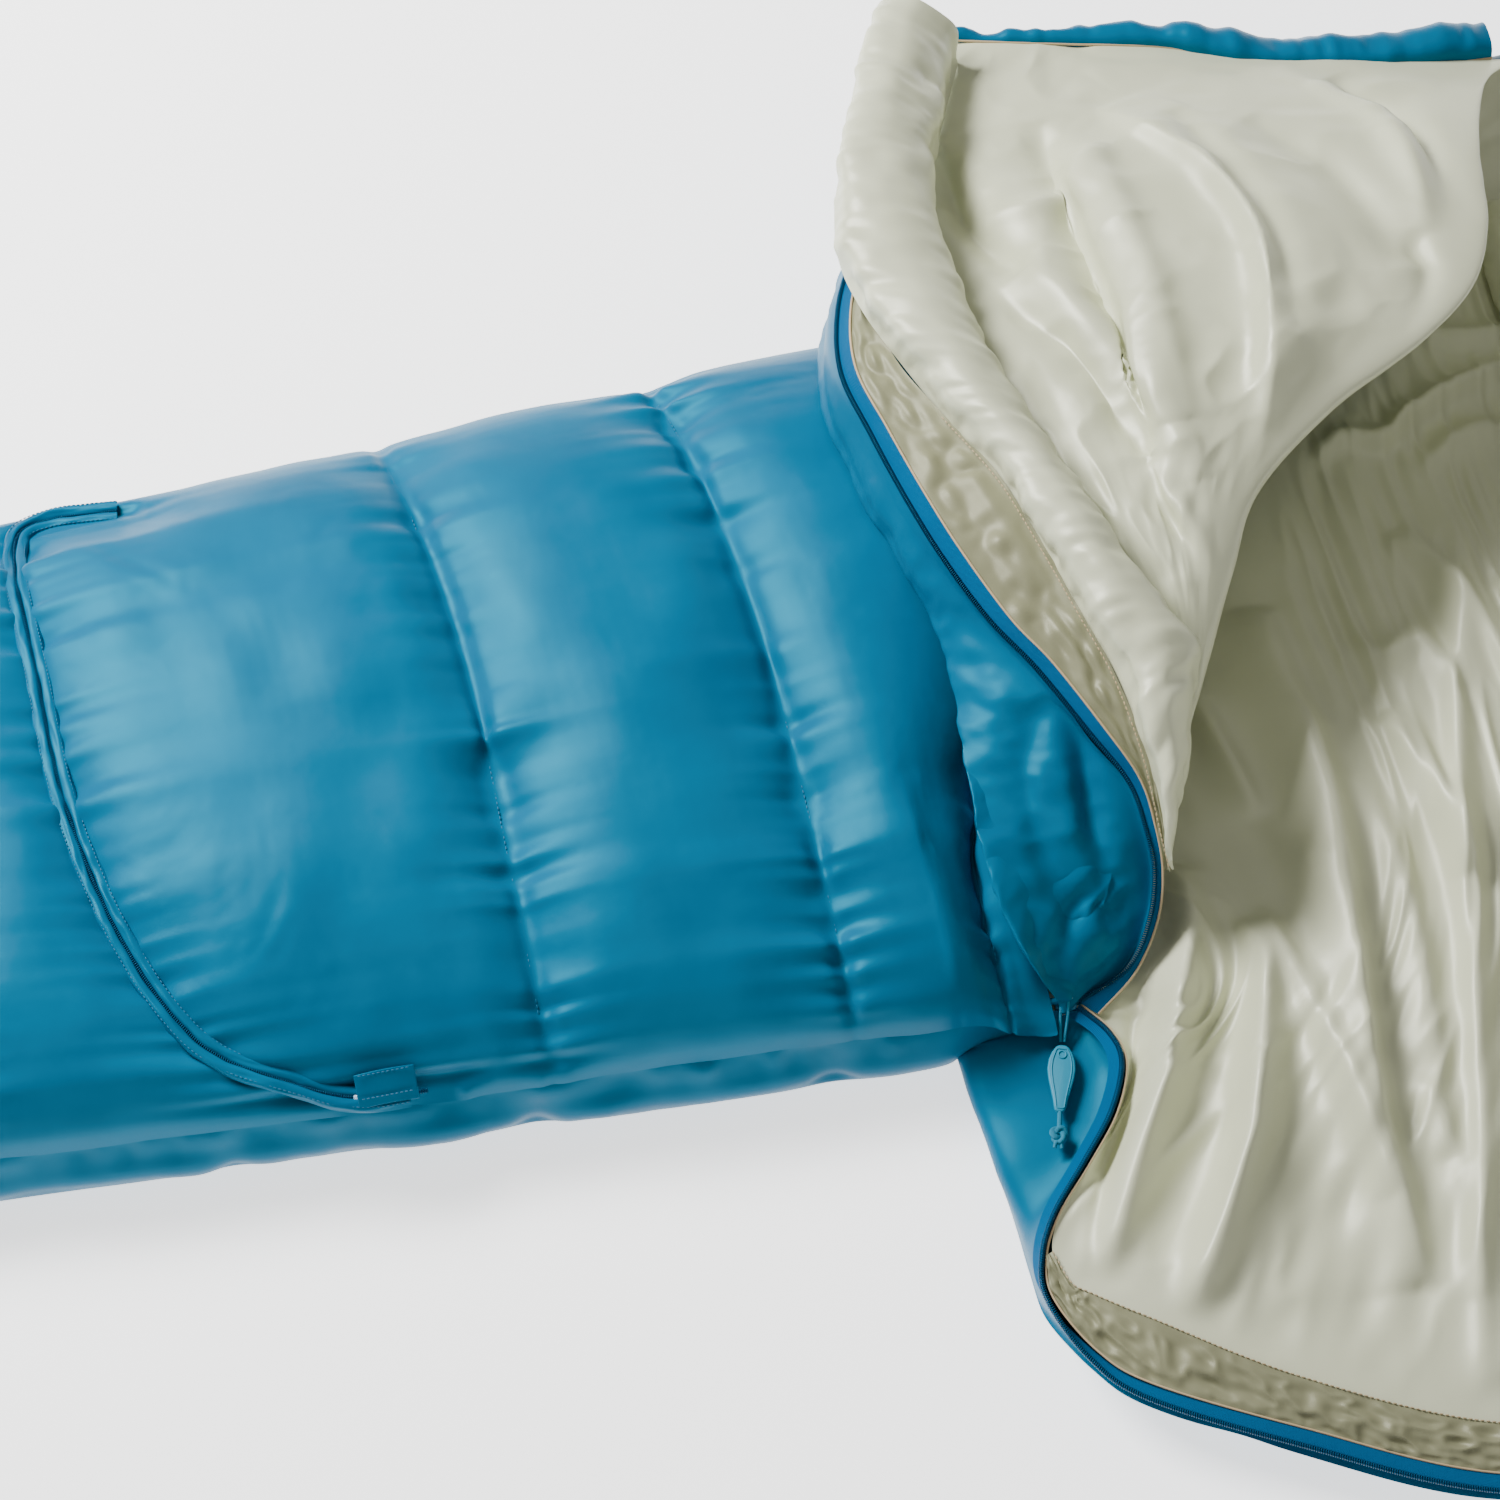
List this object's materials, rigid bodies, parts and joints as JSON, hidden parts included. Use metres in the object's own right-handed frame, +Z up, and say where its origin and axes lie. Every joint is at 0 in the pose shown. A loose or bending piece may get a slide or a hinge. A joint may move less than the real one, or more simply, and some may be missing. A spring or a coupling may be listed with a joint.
{
  "type": "sleeping bag",
  "caption": "Child's tapered quilted sleeping bag, unzipped with its top layer turned back; closed leg tube, extension zip, open hood.",
  "frame": {"origin": "on the floor under the middle of the whole bag as it lies open", "axes": "+X from the foot to the hood, +Y away from the zip side, +Z up"},
  "size_m": [1.65, 1.0957, 0.2161],
  "materials": {
    "shell_fabric": "satin nylon",
    "lining_fabric": "satin polyester",
    "facing_fabric": "crisp satin",
    "zip_tape": "matt woven tape",
    "zip_coil": "semi-gloss coil",
    "slider_metal": "satin enamel",
    "pull_cord": "braided cord",
    "pull_grip": "soft matt"
  },
  "bodies": {
    "bag": {"bottom_chamber_calf": "shell_fabric", "bottom_chamber_foot": "shell_fabric", "bottom_chamber_hip": "shell_fabric", "bottom_chamber_knee": "shell_fabric", "bottom_chamber_shin": "shell_fabric", "bottom_chamber_shoulder": "shell_fabric", "bottom_chamber_thigh": "shell_fabric", "bottom_lining": "lining_fabric", "bottom_shell": "shell_fabric", "draft_collar": "lining_fabric", "extension_chain": "zip_coil", "extension_gusset": "shell_fabric", "extension_slider": "slider_metal", "extension_tape_foot": "zip_tape", "extension_tape_leg": "zip_tape", "far_side_channel": "shell_fabric", "foot_end_channel": "shell_fabric", "garage_tab": "shell_fabric", "hood_centre_lining": "lining_fabric", "hood_centre_panel": "shell_fabric", "hood_far_lining": "lining_fabric", "hood_far_panel": "shell_fabric", "hood_near_lining": "lining_fabric", "hood_near_panel": "shell_fabric", "lower_facing": "facing_fabric", "lower_zip_chain": "zip_coil", "lower_zip_tape": "zip_tape", "near_side_channel": "shell_fabric", "top_chamber_calf": "shell_fabric", "top_chamber_foot": "shell_fabric", "top_chamber_hip": "shell_fabric", "top_chamber_knee": "shell_fabric", "top_chamber_shin": "shell_fabric", "top_chamber_thigh": "shell_fabric", "top_lining": "lining_fabric", "upper_zip_chain": "zip_coil", "upper_zip_tape": "zip_tape", "zip_end_patch": "zip_tape"},
    "flap": {"draft_tube": "lining_fabric", "flap_chamber_chest": "shell_fabric", "flap_chamber_hip": "shell_fabric", "flap_chamber_shoulder": "shell_fabric", "flap_facing": "facing_fabric", "flap_lining": "lining_fabric", "flap_shell": "shell_fabric", "flap_zip_chain": "zip_coil", "flap_zip_tape": "zip_tape", "neck_hem": "shell_fabric"},
    "slider": {"slider_bail": "slider_metal", "slider_body": "slider_metal"},
    "pull": {"pull_cord_loop": "pull_cord", "pull_grip": "pull_grip", "pull_knot": "pull_cord", "pull_tail": "pull_cord"}
  },
  "joints": [
    {"name": "flap_fold", "type": "hinge", "parent": "bag", "child": "flap", "pos_m": [0.089, -0.1568, 0.0411], "axis": [0.5908, 0.8004, 0.1019], "range_deg": [0, 90]},
    {"name": "slider_travel", "type": "slide", "parent": "bag", "child": "slider", "axis": [1, 0, 0], "range_m": [0, 0.006]},
    {"name": "pull_swing", "type": "hinge", "parent": "slider", "child": "pull", "pos_m": [0.073, -0.1768, 0.0495], "axis": [-0.9563, 0.2924, 0], "range_deg": [0, 110]}
  ]
}
